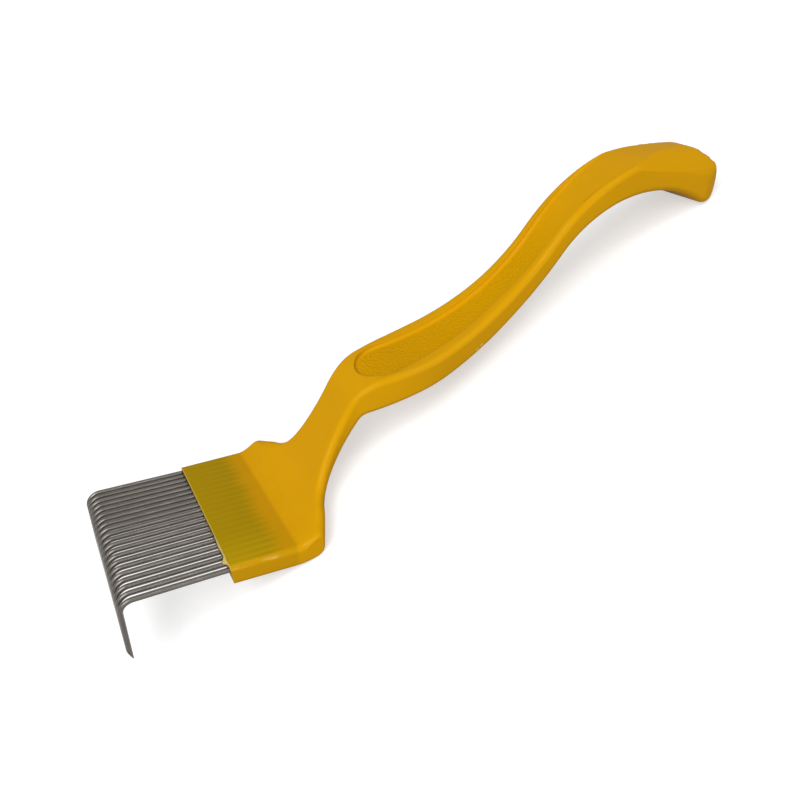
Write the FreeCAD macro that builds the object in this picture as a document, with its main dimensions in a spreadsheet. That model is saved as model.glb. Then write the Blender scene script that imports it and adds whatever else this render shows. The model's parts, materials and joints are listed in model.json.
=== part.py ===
import FreeCAD, Part
import math
import os
import re
import Sketcher
from FreeCAD import Placement, Rotation, Vector

# Uncapping fork: a row of bent, ground steel needles moulded into a one-piece plastic handle.
# Modelled with the needle shafts level and X running from the needle points to the tail, then
# turned about Y so that the fork lies on a table, on its heel and on the lip of its tail.

DIMENSIONS = {
    # needles
    "wire_diameter": 1.35,
    "needle_pitch": 2.25,
    "row_crown": 0.8,
    "free_length": 25.9,
    "root_length": 13.5,
    "bend_radius": 3.2,
    "bend_turn": 92.0,
    "leg_length": 18.4,
    "bevel_length": 3.3,
    # head of the handle
    "plastic_above": 1.7,
    "plastic_below": 4.5,
    "plastic_beside": 1.35,
    "front_lean": 1.0,
    "head_flat": 17.4,
    "heel_flat": 15.7,
    # top of the handle, from the head to the tail
    "step_radius": 3.0,
    "step_turn": 16.9,
    "ramp_radius": 17.0,
    "ramp_turn": 43.7,
    "ramp_length": 22.0,
    "hump_radius": 15.0,
    "hump_turn": 46.7,
    "palm_length": 8.7,
    "grip_radius": 79.1,
    "grip_turn": 39.1,
    "crest_radius": 55.0,
    "crest_turn": 56.3,
    "tail_radius": 12.6,
    "tail_turn": 77.9,
    "lip_radius": 4.6,
    # underside of the handle, most of it as a difference from the top
    "heel_radius": 12.0,
    "heel_turn_less": 4.3,
    "neck_length_more": 5.8,
    "bump_radius_less": 9.7,
    "bump_turn_less": 7.7,
    "belly_length_more": 6.1,
    "belly_radius_more": 11.0,
    "belly_turn_less": 3.1,
    # width of the handle, from the head to the tail
    "flank_flare": 1.9,
    "flank_length": 21.9,
    "shoulder_radius": 3.2,
    "shoulder_turn": 69.1,
    "shoulder_length": 8.1,
    "neck_radius": 11.7,
    "neck_turn": 85.5,
    "palm_radius": 57.4,
    "palm_turn": 25.3,
    "taper_length": 16.3,
    "waist_radius": 155.9,
    "waist_turn": 9.2,
    "end_past_tail": 2.9,
    # arch over the tail, and the rounded edges
    "crown_radius": 9.9,
    "crown_clear": 0.3,
    "edge_round": 1.7,
    # thumb recess, from its nose to the tail
    "recess_depth": 1.2,
    "recess_lead": 7.4,
    "recess_radius": 8.2,
    "recess_taper": 5.6,
    "recess_length": 24.8,
    "recess_spread": 6.0,
    "valley_length": 22.0,
    "valley_radius_more": 5.6,
    "valley_turn": 40.0,
    "recess_round": 0.9,
}
NEEDLES = 21

doc = FreeCAD.newDocument("uncapping_fork")
dims = doc.addObject("Spreadsheet::Sheet", "dims")
for row, (name, value) in enumerate(DIMENSIONS.items(), start=1):
    dims.set(f"A{row}", name)
    dims.set(f"B{row}", str(value))
    dims.setAlias(f"B{row}", name)
doc.recompute()


def cells(text):
    """Expression in which every bare word is a cell of the sheet."""
    return re.sub(r"[a-z]\w*", r"dims.\g<0>", text)


def size(text):
    """Value of a cell, or of a sum of cells such as "grip_radius + belly_extra"."""
    return float(dims.evalExpression(cells(text)))


def bind(obj, **expressions):
    for prop, expression in expressions.items():
        obj.setExpression(prop.replace("_", "."), expression)


def new_sketch(body, plane, name):
    """Sketch on one of the body's own origin planes."""
    sketch = body.newObject("Sketcher::SketchObject", name)
    origin = next(f for f in body.Origin.OriginFeatures if f.Role == plane)
    sketch.AttachmentSupport = [(origin, "")]
    sketch.MapMode = "FlatFace"
    return sketch


class Run:
    """A run of tangent lines and arcs in a sketch; each takes its sizes from cells of the sheet."""

    def __init__(self, sketch, point, heading):
        self.sketch, self.point, self.heading = sketch, point, math.radians(heading)
        self.last = None

    def join(self, geometry, start, end):
        if self.last is not None:
            constraint = Sketcher.Constraint("Tangent", *self.last, geometry, start)
            self.sketch.addConstraint(constraint)
        self.last = (geometry, end)

    def drive(self, kind, geometry, value, text, unit=""):
        index = self.sketch.addConstraint(Sketcher.Constraint(kind, geometry, value))
        self.sketch.setExpression(f"Constraints[{index}]", f"({cells(text)}){unit}")

    def line(self, text="", guess=0.0):
        """Straight on for a length from the sheet, or with a free end near the guess."""
        length = size(text) if text else guess
        end = self.point + Vector(math.cos(self.heading), math.sin(self.heading)) * length
        geometry = self.sketch.addGeometry(Part.LineSegment(self.point, end))
        self.join(geometry, 1, 2)
        if text:
            self.drive("Distance", geometry, length, text)
        self.point = end
        return geometry

    def to_right(self, distance):
        """Point at a distance to the right of the run's end."""
        return self.point + Vector(math.sin(self.heading), -math.cos(self.heading)) * distance

    def left(self, radius_text, turn_text):
        return self.arc(radius_text, size(turn_text), turn_text)

    def right(self, radius_text, turn_text):
        return self.arc(radius_text, -size(turn_text), turn_text)

    def arc(self, radius_text, turn, turn_text="", guess=0.0):
        """Turn left (positive) or right (negative). What has no text stays free: the radius,
        near the guess, or the end."""
        radius, side = size(radius_text) if radius_text else guess, math.copysign(1, turn)
        across = Vector(-math.sin(self.heading), math.cos(self.heading)) * side
        self.centre = centre = self.point + across * radius
        begin = math.atan2(-across.y, -across.x)
        finish = begin + math.radians(turn)
        low, high = (begin, finish) if side > 0 else (finish, begin)
        circle = Part.Circle(centre, Vector(0, 0, 1), radius)
        geometry = self.sketch.addGeometry(Part.ArcOfCircle(circle, low, high))
        self.join(geometry, *((1, 2) if side > 0 else (2, 1)))
        if radius_text:
            self.drive("Radius", geometry, radius, radius_text)
        if turn_text:
            self.drive("Angle", geometry, math.radians(abs(turn)), turn_text, " * 1 deg")
        self.point = centre + Vector(math.cos(finish), math.sin(finish)) * radius
        self.heading += math.radians(turn)
        return geometry


def place_point(sketch, geometry, point, x_expression, y_expression):
    """Fix the start of a line by its distances from the sketch's origin."""
    for kind, value, expression in (("DistanceX", point.x, x_expression),
                                    ("DistanceY", point.y, y_expression)):
        index = sketch.addConstraint(Sketcher.Constraint(kind, -1, 1, geometry, 1, value))
        sketch.setExpression(f"Constraints[{index}]", expression)


def pad(body, sketch, length_expression):
    feature = body.newObject("PartDesign::Pad", body.Name + "_pad")
    feature.Profile = sketch
    feature.Midplane = True
    bind(feature, Length=length_expression)
    sketch.Visibility = False
    return feature


def close(sketch, start, end, *ends):
    """Straight line that joins two runs at the given ends."""
    geometry = sketch.addGeometry(Part.LineSegment(start, end))
    for position, (other, other_position) in zip((1, 2), ends):
        sketch.addConstraint(
            Sketcher.Constraint("Coincident", geometry, position, other, other_position))
    return geometry


def measure(sketch, name, kind, geometry, point, value):
    """Reference constraint from the sketch's origin, which other sketches read by its name."""
    index = sketch.addConstraint(Sketcher.Constraint(kind, -1, 1, geometry, point, value))
    sketch.setDriving(index, False)
    sketch.renameConstraint(index, name)


def measured(name):
    return f"side_outline.Constraints.{name} / 1 mm"


def fix(sketch, kind, geometry, point, value, expression):
    """Driven distance of a point from the sketch's origin."""
    index = sketch.addConstraint(Sketcher.Constraint(kind, -1, 1, geometry, point, value))
    sketch.setExpression(f"Constraints[{index}]", expression)


ALONG_X = Rotation(Vector(0, 1, 0), 90)
HALF_ROW = f"dims.needle_pitch * {(NEEDLES - 1) / 2:g}"
half_row = size("needle_pitch") * (NEEDLES - 1) / 2
half_width = half_row + size("plastic_beside")
front_top = Vector(size("free_length"), size("plastic_above"))
front_bottom = Vector(size("free_length") + size("front_lean"), -size("plastic_below"))


def side_stock():
    """The handle's outline from the side, as wide as the head. The underside follows the top,
    so its radii, turns and lengths are the top's with a little more or less."""
    body = doc.addObject("PartDesign::Body", "side_stock")
    sketch = new_sketch(body, "XZ_Plane", "side_outline")

    top = Run(sketch, front_top, 0)
    head = top.line("head_flat")
    top.left("step_radius", "step_turn")
    top.left("ramp_radius", "ramp_turn")
    top.line("ramp_length")
    hump = top.right("hump_radius", "hump_turn")
    hump_centre = top.centre
    top.line("palm_length")
    top.left("grip_radius", "grip_turn")
    crest = top.right("crest_radius", "crest_turn")
    crest_centre = top.centre
    tail = top.right("tail_radius", "tail_turn")
    tail_centre = top.centre

    under = Run(sketch, front_bottom, 0)
    sole = under.line("heel_flat")
    heel = under.left("heel_radius", "step_turn + ramp_turn - heel_turn_less")
    under.line("ramp_length + neck_length_more")
    under.right("hump_radius - bump_radius_less", "hump_turn - bump_turn_less")
    under.line("palm_length + belly_length_more")
    under.left("grip_radius + belly_radius_more", "grip_turn - belly_turn_less")

    # the hollow under the tail is the one arc that touches both the belly and the lip
    lip_radius = size("lip_radius")
    lip_centre = top.to_right(lip_radius)
    reach = lip_centre - under.point
    across = reach.dot(under.to_right(1) - under.point)
    hollow_radius = (reach.Length ** 2 - lip_radius ** 2) / (2 * (across + lip_radius))
    apart = lip_centre - under.to_right(hollow_radius)
    fall = math.atan2(apart.y, apart.x) - math.pi / 2
    lip = top.arc("lip_radius", math.degrees(fall - math.pi - top.heading))
    under.arc("", math.degrees(fall - under.heading), guess=hollow_radius)
    sketch.addConstraint(Sketcher.Constraint("Tangent", *under.last, *top.last))

    for line in (head, sole):
        sketch.addConstraint(Sketcher.Constraint("Horizontal", line))
    place_point(sketch, head, front_top, "dims.free_length", "dims.plastic_above")
    place_point(sketch, sole, front_bottom, "dims.free_length + dims.front_lean",
                "-dims.plastic_below")
    close(sketch, front_top, front_bottom, (head, 1), (sole, 1))
    measure(sketch, "hump_x", "DistanceX", hump, 3, hump_centre.x)
    measure(sketch, "hump_z", "DistanceY", hump, 3, hump_centre.y)
    measure(sketch, "crest_z", "DistanceY", crest, 3, crest_centre.y)
    measure(sketch, "tail_x", "DistanceX", tail, 3, tail_centre.x)
    pad(body, sketch, f"2 * ({HALF_ROW}) + 4 * dims.plastic_beside")
    doc.recompute()
    return body, sketch, (heel, lip), (hump_centre, tail_centre)


def mirrored_plan(name, half):
    """Both halves of a plan outline that was padded on one side of the middle plane."""
    mirror = doc.addObject("Part::Mirroring", name + "_mirror")
    mirror.Source = half
    mirror.Normal = Vector(0, 1, 0)
    whole = doc.addObject("Part::MultiFuse", name)
    whole.Shapes = [half, mirror]
    whole.Refine = True
    return whole


STOCK_HEIGHT = "2 * (dims.ramp_length + dims.grip_radius + dims.crest_radius)"


def plan_stock(tip_x):
    """The handle's outline from above, taller than the handle. Its round end reaches a little
    past the tail, and the last straight runs out to wherever that end begins."""
    body = doc.addObject("PartDesign::Body", "half_plan")
    sketch = new_sketch(body, "XY_Plane", "plan_outline")
    start = Vector(front_top.x, half_width)
    edge = Run(sketch, start, size("flank_flare"))
    flank = edge.line("flank_length")
    edge.right("shoulder_radius", "shoulder_turn")
    edge.line("shoulder_length")
    edge.left("neck_radius", "neck_turn")
    edge.right("palm_radius", "palm_turn")
    edge.line("taper_length")
    edge.left("waist_radius", "waist_turn")
    sine, cosine = math.sin(edge.heading), math.cos(edge.heading)
    spread = (1 + sine) / cosine
    edge.line(guess=(tip_x - edge.point.x - edge.point.y * spread) / (cosine + sine * spread))

    radius = edge.point.y / cosine
    circle = Part.Circle(Vector(tip_x - radius, 0), Vector(0, 0, 1), radius)
    end = sketch.addGeometry(Part.ArcOfCircle(circle, 0, math.pi / 2 + edge.heading))
    edge.join(end, 2, 1)
    for point in (1, 3):
        sketch.addConstraint(Sketcher.Constraint("PointOnObject", end, point, -1))
    fix(sketch, "DistanceX", end, 1, tip_x,
        f"{measured('tail_x')} + dims.tail_radius + dims.end_past_tail")

    angle = sketch.addConstraint(
        Sketcher.Constraint("Angle", flank, math.radians(size("flank_flare"))))
    sketch.setExpression(f"Constraints[{angle}]", "dims.flank_flare * 1 deg")
    place_point(sketch, flank, start, "dims.free_length", f"{HALF_ROW} + dims.plastic_beside")
    corner = Vector(start.x, 0)
    middle = close(sketch, Vector(tip_x, 0), corner, edge.last)
    front = close(sketch, corner, start, (middle, 2), (flank, 1))
    sketch.addConstraint(Sketcher.Constraint("PointOnObject", middle, 2, -1))
    sketch.addConstraint(Sketcher.Constraint("Vertical", front))
    pad(body, sketch, STOCK_HEIGHT)
    return mirrored_plan("plan_stock", body)


def crown_tool():
    """What is cut off over the tail to arch its top from side to side. It only reaches the
    crest, as the rest of the handle lies lower."""
    level = f"{measured('crest_z')} + dims.crest_radius + dims.crown_clear - dims.crown_radius"
    length = f"{measured('tail_x')} + 2 * dims.tail_radius"
    block = doc.addObject("Part::Box", "crown_block")
    bind(block, Length=length, Width="4 * dims.crown_radius", Height="2 * dims.crown_radius",
         Placement_Base_y="-2 * dims.crown_radius", Placement_Base_z=level)
    arch = doc.addObject("Part::Cylinder", "crown_arch")
    arch.Placement = Placement(Vector(), ALONG_X)
    bind(arch, Radius="dims.crown_radius", Height=length, Placement_Base_z=level)
    over = doc.addObject("Part::Cut", "crown_tool")
    over.Base, over.Tool = block, arch
    return over


def plane_normals(shape, edge):
    """Outward normals, at the middle of the edge, of the two faces that meet in it."""
    middle = edge.valueAt((edge.FirstParameter + edge.LastParameter) / 2)
    faces = [f for f in shape.Faces if any(e.isSame(edge) for e in f.Edges)]
    return [f.normalAt(*f.Surface.parameter(middle)) for f in faces]


def round_edges(base, name, radius, wanted):
    """Round every edge of the base whose two faces pass the test."""
    fillet = doc.addObject("Part::Fillet", name)
    fillet.Base = base
    fillet.Edges = [(number, radius, radius)
                    for number, edge in enumerate(base.Shape.Edges, start=1)
                    if wanted(plane_normals(base.Shape, edge))]
    doc.recompute()
    return fillet


def along_handle(normals):
    """Test for the long edges, which leaves out the crisp ones round the front of the head."""
    walls = [n for n in normals if abs(n.z) < 1e-6 and n.x > -0.9]
    faces = [n for n in normals if abs(n.y) < 1e-6 and n.x > -0.95]
    return len(walls) == 1 and len(faces) == 1


def recess_floor(hump_centre):
    """Stock over the floor of the thumb recess. The floor follows the top of the handle at one
    depth as far as the crest, where a flatter arc brings it slowly out."""
    body = doc.addObject("PartDesign::Body", "floor_stock")
    sketch = new_sketch(body, "XZ_Plane", "floor_outline")
    steep = size("step_turn + ramp_turn")
    radius = size("hump_radius - recess_depth")
    lead = math.radians(90 + steep)
    start = hump_centre + Vector(math.cos(lead), math.sin(lead)) * radius
    floor = Run(sketch, start, steep)
    brow = floor.right("hump_radius - recess_depth", "hump_turn")
    palm = floor.line("palm_length")
    floor.left("grip_radius + recess_depth", "grip_turn")
    floor.right("crest_radius + valley_radius_more", "valley_turn")
    fix(sketch, "DistanceX", brow, 3, hump_centre.x, measured("hump_x"))
    fix(sketch, "DistanceY", brow, 3, hump_centre.y, measured("hump_z"))
    slope = size("step_turn + ramp_turn - hump_turn")
    index = sketch.addConstraint(Sketcher.Constraint("Angle", palm, math.radians(slope)))
    sketch.setExpression(f"Constraints[{index}]",
                         f"({cells('step_turn + ramp_turn - hump_turn')}) * 1 deg")
    over = floor.point + Vector(0, size("crest_radius"))
    back = Vector(start.x, over.y)
    rise = close(sketch, floor.point, over, floor.last)
    lid = close(sketch, over, back, (rise, 2))
    drop = close(sketch, back, start, (lid, 2), (brow, 2))
    for way, line in (("Vertical", rise), ("Horizontal", lid), ("Vertical", drop)):
        sketch.addConstraint(Sketcher.Constraint(way, line))
    index = sketch.addConstraint(Sketcher.Constraint("Distance", rise, size("crest_radius")))
    sketch.setExpression(f"Constraints[{index}]", "dims.crest_radius")
    pad(body, sketch, "4 * dims.recess_radius")
    return body


def recess_tool(hump_centre):
    """What is cut out for the thumb: a tongue with a round nose, narrowed to the waist and
    spread again towards the tail, down to its floor."""
    body = doc.addObject("PartDesign::Body", "half_tongue")
    sketch = new_sketch(body, "XY_Plane", "tongue_outline")
    start = Vector(hump_centre.x - size("recess_lead"), 0)
    edge = Run(sketch, start, 90)
    nose = edge.arc("recess_radius", -90 - size("recess_taper"))
    flank = edge.line("recess_length")
    edge.left("waist_radius", "recess_taper + recess_spread")
    edge.line("valley_length")
    for point in (2, 3):
        sketch.addConstraint(Sketcher.Constraint("PointOnObject", nose, point, -1))
    fix(sketch, "DistanceX", nose, 2, start.x, f"{measured('hump_x')} - dims.recess_lead")
    index = sketch.addConstraint(
        Sketcher.Constraint("Angle", flank, -math.radians(size("recess_taper"))))
    sketch.setExpression(f"Constraints[{index}]", "-dims.recess_taper * 1 deg")
    foot = Vector(edge.point.x, 0)
    end = close(sketch, edge.point, foot, edge.last)
    middle = close(sketch, foot, start, (end, 2), (nose, 2))
    sketch.addConstraint(Sketcher.Constraint("Vertical", end))
    sketch.addConstraint(Sketcher.Constraint("Horizontal", middle))
    pad(body, sketch, STOCK_HEIGHT)
    tool = doc.addObject("Part::MultiCommon", "recess_stock")
    tool.Shapes = [mirrored_plan("tongue", body), recess_floor(hump_centre)]
    doc.recompute()

    def at_floor(normals):
        walls = [n for n in normals if abs(n.z) < 1e-6 and n.x < 0.9]
        floors = [n for n in normals if abs(n.y) < 1e-6 and n.z < -0.15]
        return len(walls) == 1 and len(floors) == 1
    return round_edges(tool, "recess", size("recess_round"), at_floor)


def needle_seat(number):
    """Place of needle 1, 2, 3... in the row, which rises a little towards its middle."""
    offset = number - (NEEDLES + 1) / 2
    share = 2 * offset / (NEEDLES - 1)
    return Vector(0, offset * size("needle_pitch"), (1 - share ** 2) * size("row_crown"))


def rod(name, length_expression, place):
    cylinder = doc.addObject("Part::Cylinder", name)
    bind(cylinder, Radius="dims.wire_diameter / 2", Height=length_expression)
    cylinder.Placement = place
    return cylinder


BEND_START = "dims.bend_radius * tan(dims.bend_turn / 2 * 1 deg)"
bend_start = size("bend_radius") * math.tan(math.radians(size("bend_turn") / 2))


def socket(number):
    """The hole that a needle's root fills."""
    lead = Vector(size("free_length") - 1, 0, 0)
    return rod(f"socket_{number:02d}", "dims.root_length + 1",
               Placement(lead + needle_seat(number), ALONG_X))


def needle(number):
    """Wire bent down at its free end, with the end of the leg ground to a slanting point."""
    label = f"needle_{number:02d}"
    turn = math.radians(size("bend_turn"))
    down = Vector(-math.cos(turn), 0, -math.sin(turn))
    inward = Vector(math.sin(turn), 0, -math.cos(turn))
    radius = size("wire_diameter") / 2

    shaft = rod(label + "_shaft", f"dims.free_length + dims.root_length - {BEND_START}",
                Placement(Vector(bend_start, 0, 0), ALONG_X))
    bend = doc.addObject("Part::Torus", label + "_bend")
    bind(bend, Radius1="dims.bend_radius", Radius2="dims.wire_diameter / 2",
         Angle3="dims.bend_turn")
    bend.Placement = Placement(Vector(bend_start, 0, -size("bend_radius")),
                               Rotation(Vector(0, 0, 1), Vector(-1, 0, 0), Vector(0, -1, 0)))
    leg = rod(label + "_leg", f"dims.leg_length - {BEND_START}",
              Placement(down * bend_start, Rotation(inward, Vector(0, 1, 0), down)))
    wire = doc.addObject("Part::MultiFuse", label + "_wire")
    wire.Shapes = [shaft, bend, leg]
    wire.Refine = True

    point = down * size("leg_length") + inward * radius
    slope = (down * -size("bevel_length") - inward * 2 * radius).normalize()
    across = Vector(0, -1, 0)
    stone = doc.addObject("Part::Box", label + "_ground_off")
    bind(stone, Length="dims.bevel_length", Width="2 * dims.wire_diameter",
         Height="2 * dims.bevel_length")
    corner = point - slope * (size("bevel_length") / 2) - across * 2 * radius
    stone.Placement = Placement(corner, Rotation(across.cross(slope), across, slope))
    ground = doc.addObject("Part::Cut", label)
    ground.Base, ground.Tool = wire, stone
    ground.Label = label
    return ground


def rest_placement(sketch, heel, lip):
    """Turn and drop that bring the heel and the lip of the tail down on to the table."""
    low, high = sketch.Geometry[heel], sketch.Geometry[lip]
    reach = high.Center - low.Center
    tilt = math.atan2(reach.y, reach.x) + math.asin((low.Radius - high.Radius) / reach.Length)
    turn = Rotation(Vector(0, 1, 0), math.degrees(tilt))
    touch = turn.multVec(Vector(low.Center.x, 0, low.Center.y)) - Vector(0, 0, low.Radius)
    return Placement(Vector(0, 0, -touch.z), turn)


side, side_sketch, (heel, lip), (hump_centre, tail_centre) = side_stock()
plan = plan_stock(tail_centre.x + size("tail_radius + end_past_tail"))
blank = doc.addObject("Part::MultiCommon", "handle_blank")
blank.Shapes = [side, plan]
doc.recompute()
moulding = round_edges(blank, "rounded_blank", size("edge_round"), along_handle)
arched = doc.addObject("Part::Cut", "arched_moulding")
arched.Base, arched.Tool = moulding, crown_tool()
cuts = [recess_tool(hump_centre)] + [socket(number) for number in range(1, NEEDLES + 1)]
cut_stock = doc.addObject("Part::MultiFuse", "recess_and_sockets")
cut_stock.Shapes = cuts
handle = doc.addObject("Part::Cut", "handle")
handle.Base, handle.Tool = arched, cut_stock
parts = [handle] + [needle(number) for number in range(1, NEEDLES + 1)]
doc.recompute()

rest = rest_placement(side_sketch, heel, lip)
length = handle.Shape.transformed(rest.toMatrix()).BoundBox
needle_box = parts[1].Shape.transformed(rest.toMatrix()).BoundBox
rest.Base.x = -(length.XMax + needle_box.XMin) / 2
for number, part in enumerate(parts):
    place = Placement(needle_seat(number), Rotation()) if number else Placement()
    part.Placement = rest.multiply(place)
doc.recompute()

for obj in doc.Objects:
    if "Invalid" in obj.State or "Error" in obj.State:
        raise RuntimeError(f"{obj.Name} did not compute")
os.makedirs("parts", exist_ok=True)
for part in parts:
    if part.Shape.isNull() or not part.Shape.isValid() or len(part.Shape.Solids) != 1:
        raise RuntimeError(f"{part.Label} is not one valid solid")
    part.Shape.exportStep(f"parts/{part.Label}.step")
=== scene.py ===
import json
import math
import random

import bmesh
import bpy
import numpy as np
from bpy.props import FloatProperty, FloatVectorProperty, IntProperty, PointerProperty
from mathutils import Matrix, Vector


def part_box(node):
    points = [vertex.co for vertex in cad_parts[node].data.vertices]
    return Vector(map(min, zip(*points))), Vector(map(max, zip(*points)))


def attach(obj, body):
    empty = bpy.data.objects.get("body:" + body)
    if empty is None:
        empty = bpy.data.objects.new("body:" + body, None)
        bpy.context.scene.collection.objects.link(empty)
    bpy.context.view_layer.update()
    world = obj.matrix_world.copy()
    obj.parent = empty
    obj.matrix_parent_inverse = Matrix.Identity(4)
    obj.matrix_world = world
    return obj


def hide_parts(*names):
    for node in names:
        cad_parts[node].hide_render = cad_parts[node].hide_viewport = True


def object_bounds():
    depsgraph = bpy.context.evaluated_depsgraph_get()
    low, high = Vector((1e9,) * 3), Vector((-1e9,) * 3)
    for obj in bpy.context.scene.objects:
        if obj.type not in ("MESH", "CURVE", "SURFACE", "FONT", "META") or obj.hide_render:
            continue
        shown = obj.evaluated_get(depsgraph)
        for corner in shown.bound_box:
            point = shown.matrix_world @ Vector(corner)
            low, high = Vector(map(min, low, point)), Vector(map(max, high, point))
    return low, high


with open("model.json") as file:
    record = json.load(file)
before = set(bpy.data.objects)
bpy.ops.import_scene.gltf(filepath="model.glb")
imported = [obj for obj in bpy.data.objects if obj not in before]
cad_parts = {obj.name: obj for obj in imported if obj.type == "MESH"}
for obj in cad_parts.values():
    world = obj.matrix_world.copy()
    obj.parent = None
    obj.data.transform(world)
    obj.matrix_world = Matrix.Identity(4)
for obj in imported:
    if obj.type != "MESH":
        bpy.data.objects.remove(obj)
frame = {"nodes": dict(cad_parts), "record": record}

bl_info = {
    "name": "Uncapping Fork",
    "version": (1, 0, 0),
    "blender": (4, 5, 0),
    "location": "3D View > Sidebar > Fork",
    "description": "Dresses the packed uncapping fork: moulded handle, needle row and stage",
    "category": "Object",
}

MM = 0.001
CAD_BOX = [list(corner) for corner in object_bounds()]
NEEDLE_NODES = sorted(name for name in frame["nodes"] if name.startswith("needle_"))

# Edges of a needle that turn more than this stay crisp.
NEEDLE_SHARP = math.radians(40)

# Steps of one evening round: the first pair smooths and grows back, the second only melts.
KEEP_SIZE, MELT = (0.6, -0.595), (0.6,)

# Cells for evening out, at the tail and at the shoulders. The shoulders reach so far along the
# handle, and swell most at one place; the lift is the share of the swell that goes upward.
TAIL_CELL, SHOULDER_CELL = 1.0 * MM, 1.5 * MM
SHOULDER_REACH = (42 * MM, 66 * MM)
SHOULDER_PLACE, SHOULDER_WIDTH, SHOULDER_LIFT = 53 * MM, 5 * MM, 0.6
SHOULDER_SIDE = (8 * MM, 18 * MM)

# How far before the tip the tail's evening out is in full force, where the tip's own melting
# starts and is in full force, and where the tail is stretched back to its length.
TAIL_FULL, TIP_START, TIP_FULL, STRETCH = 12 * MM, 9 * MM, 2 * MM, 14 * MM

# Places on the level head in millimetres: along counts from the needles' legs, across from the
# middle of the row. A pair is where a change starts and where it ends.
# The head block before this step is darker: partly clearer plastic, partly painted shade.
CLEAR_AND_SHADE_END = (42.7, 43.9)
ROOTS_DARKEN = (27.0, 39.0)
# Painted light: the olive band is lighter towards its near side.
NEAR_OLIVE_LIGHT = (-9.0, -23.0)
RECESS_FADE = (121.0, 136.0)
# Painted shade along the recess's near rim fades out along and across these.
RIM_SHADE_FADE = (112.0, 128.0)
RIM_SHADE_SIDE = (-1.0, 4.0)
SCUFF_END = (44.0, 47.0)
ROUNDED_SIDE = 23.4
NICKS = ((102.4, -0.2, 39.8), (103.8, -0.2, 40.8))
NICK_SIDE = (-6.0, -5.0)

# Mould flash on the front edge: where it runs across the head, its steps and its seed.
FLASH_START, FLASH_END, FLASH_STEPS, FLASH_SEED = -22.6 * MM, -10.5 * MM, 46, 7
FLASH_TOP = 1.7 * MM

# The stage, in metres. A lamp has its name, place, size and the setting with its power.
FLOOR_HALF, FLOOR_DROP = 4.0, 0.05 * MM
LAMP_TARGET = (0.0, 0.0, 0.01)
LAMPS = (("key_lamp", (-0.32, -0.40, 0.85), 0.8, "key_light"),
         ("front_lamp", (0.25, -0.90, 0.30), 0.5, "front_light"),
         ("glint_lamp", (0.50, -0.45, 0.80), 0.25, "glint_light"))
GLOW_REACH, GLOW_NEAR = (0.10, 0.30), 0.56
CAMERA_PLACE = (-0.0408, -0.15876, 0.13982)
CAMERA_RIGHT, CAMERA_UP = (0.78648, -0.47635, -0.39311), (0.60261, 0.45241, 0.65741)
SENSOR_WIDTH, CLIP = 36.0, (0.01, 20.0)


# ---------------------------------------------------------------- sizes and colours

class FORK_PG_needles(bpy.types.PropertyGroup):
    """The row of bent needles, measured with its shafts level."""
    count: IntProperty(
        name="Needles", description="Number of needles in the row",
        default=len(NEEDLE_NODES), min=3)
    pitch: FloatProperty(
        name="Pitch", description="Distance from one needle to the next",
        default=2.25 * MM, min=0, unit="LENGTH", subtype="DISTANCE", precision=5)
    crown: FloatProperty(
        name="Crown", description="Rise of the middle needle above the outer ones",
        default=0.8 * MM, unit="LENGTH", subtype="DISTANCE", precision=5)
    wire: FloatProperty(
        name="Wire", description="Diameter of the wire",
        default=1.35 * MM, min=0, unit="LENGTH", subtype="DISTANCE", precision=5)
    free_length: FloatProperty(
        name="Free Length", description="From the plastic to the corner of the bend",
        default=25.9 * MM, min=0, unit="LENGTH", subtype="DISTANCE", precision=5)
    root_length: FloatProperty(
        name="Root Length", description="Length moulded into the plastic",
        default=13.5 * MM, min=0, unit="LENGTH", subtype="DISTANCE", precision=5)
    bend_radius: FloatProperty(
        name="Bend Radius", description="Radius of the bend at the middle of the wire",
        default=3.2 * MM, min=0, unit="LENGTH", subtype="DISTANCE", precision=5)
    bend_turn: FloatProperty(
        name="Bend Turn", description="Turn from the shaft to the leg",
        default=math.radians(92), subtype="ANGLE", unit="ROTATION")
    leg_length: FloatProperty(
        name="Leg Length", description="From the corner of the bend to the point",
        default=18.4 * MM, min=0, unit="LENGTH", subtype="DISTANCE", precision=5)
    bevel_length: FloatProperty(
        name="Bevel Length", description="Length of the ground face at the point",
        default=3.3 * MM, min=0, unit="LENGTH", subtype="DISTANCE", precision=5)
    sides: IntProperty(
        name="Sides", description="Faces round the wire", default=20, min=6, max=48)
    steel: FloatVectorProperty(
        name="Steel", description="Colour of the drawn wire",
        subtype="COLOR", size=3, default=(0.150, 0.138, 0.122), min=0, max=1)
    steel_dark: FloatVectorProperty(
        name="Drawing Marks", description="Colour in the fine marks along the wire",
        subtype="COLOR", size=3, default=(0.06, 0.054, 0.046), min=0, max=1)


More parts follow.
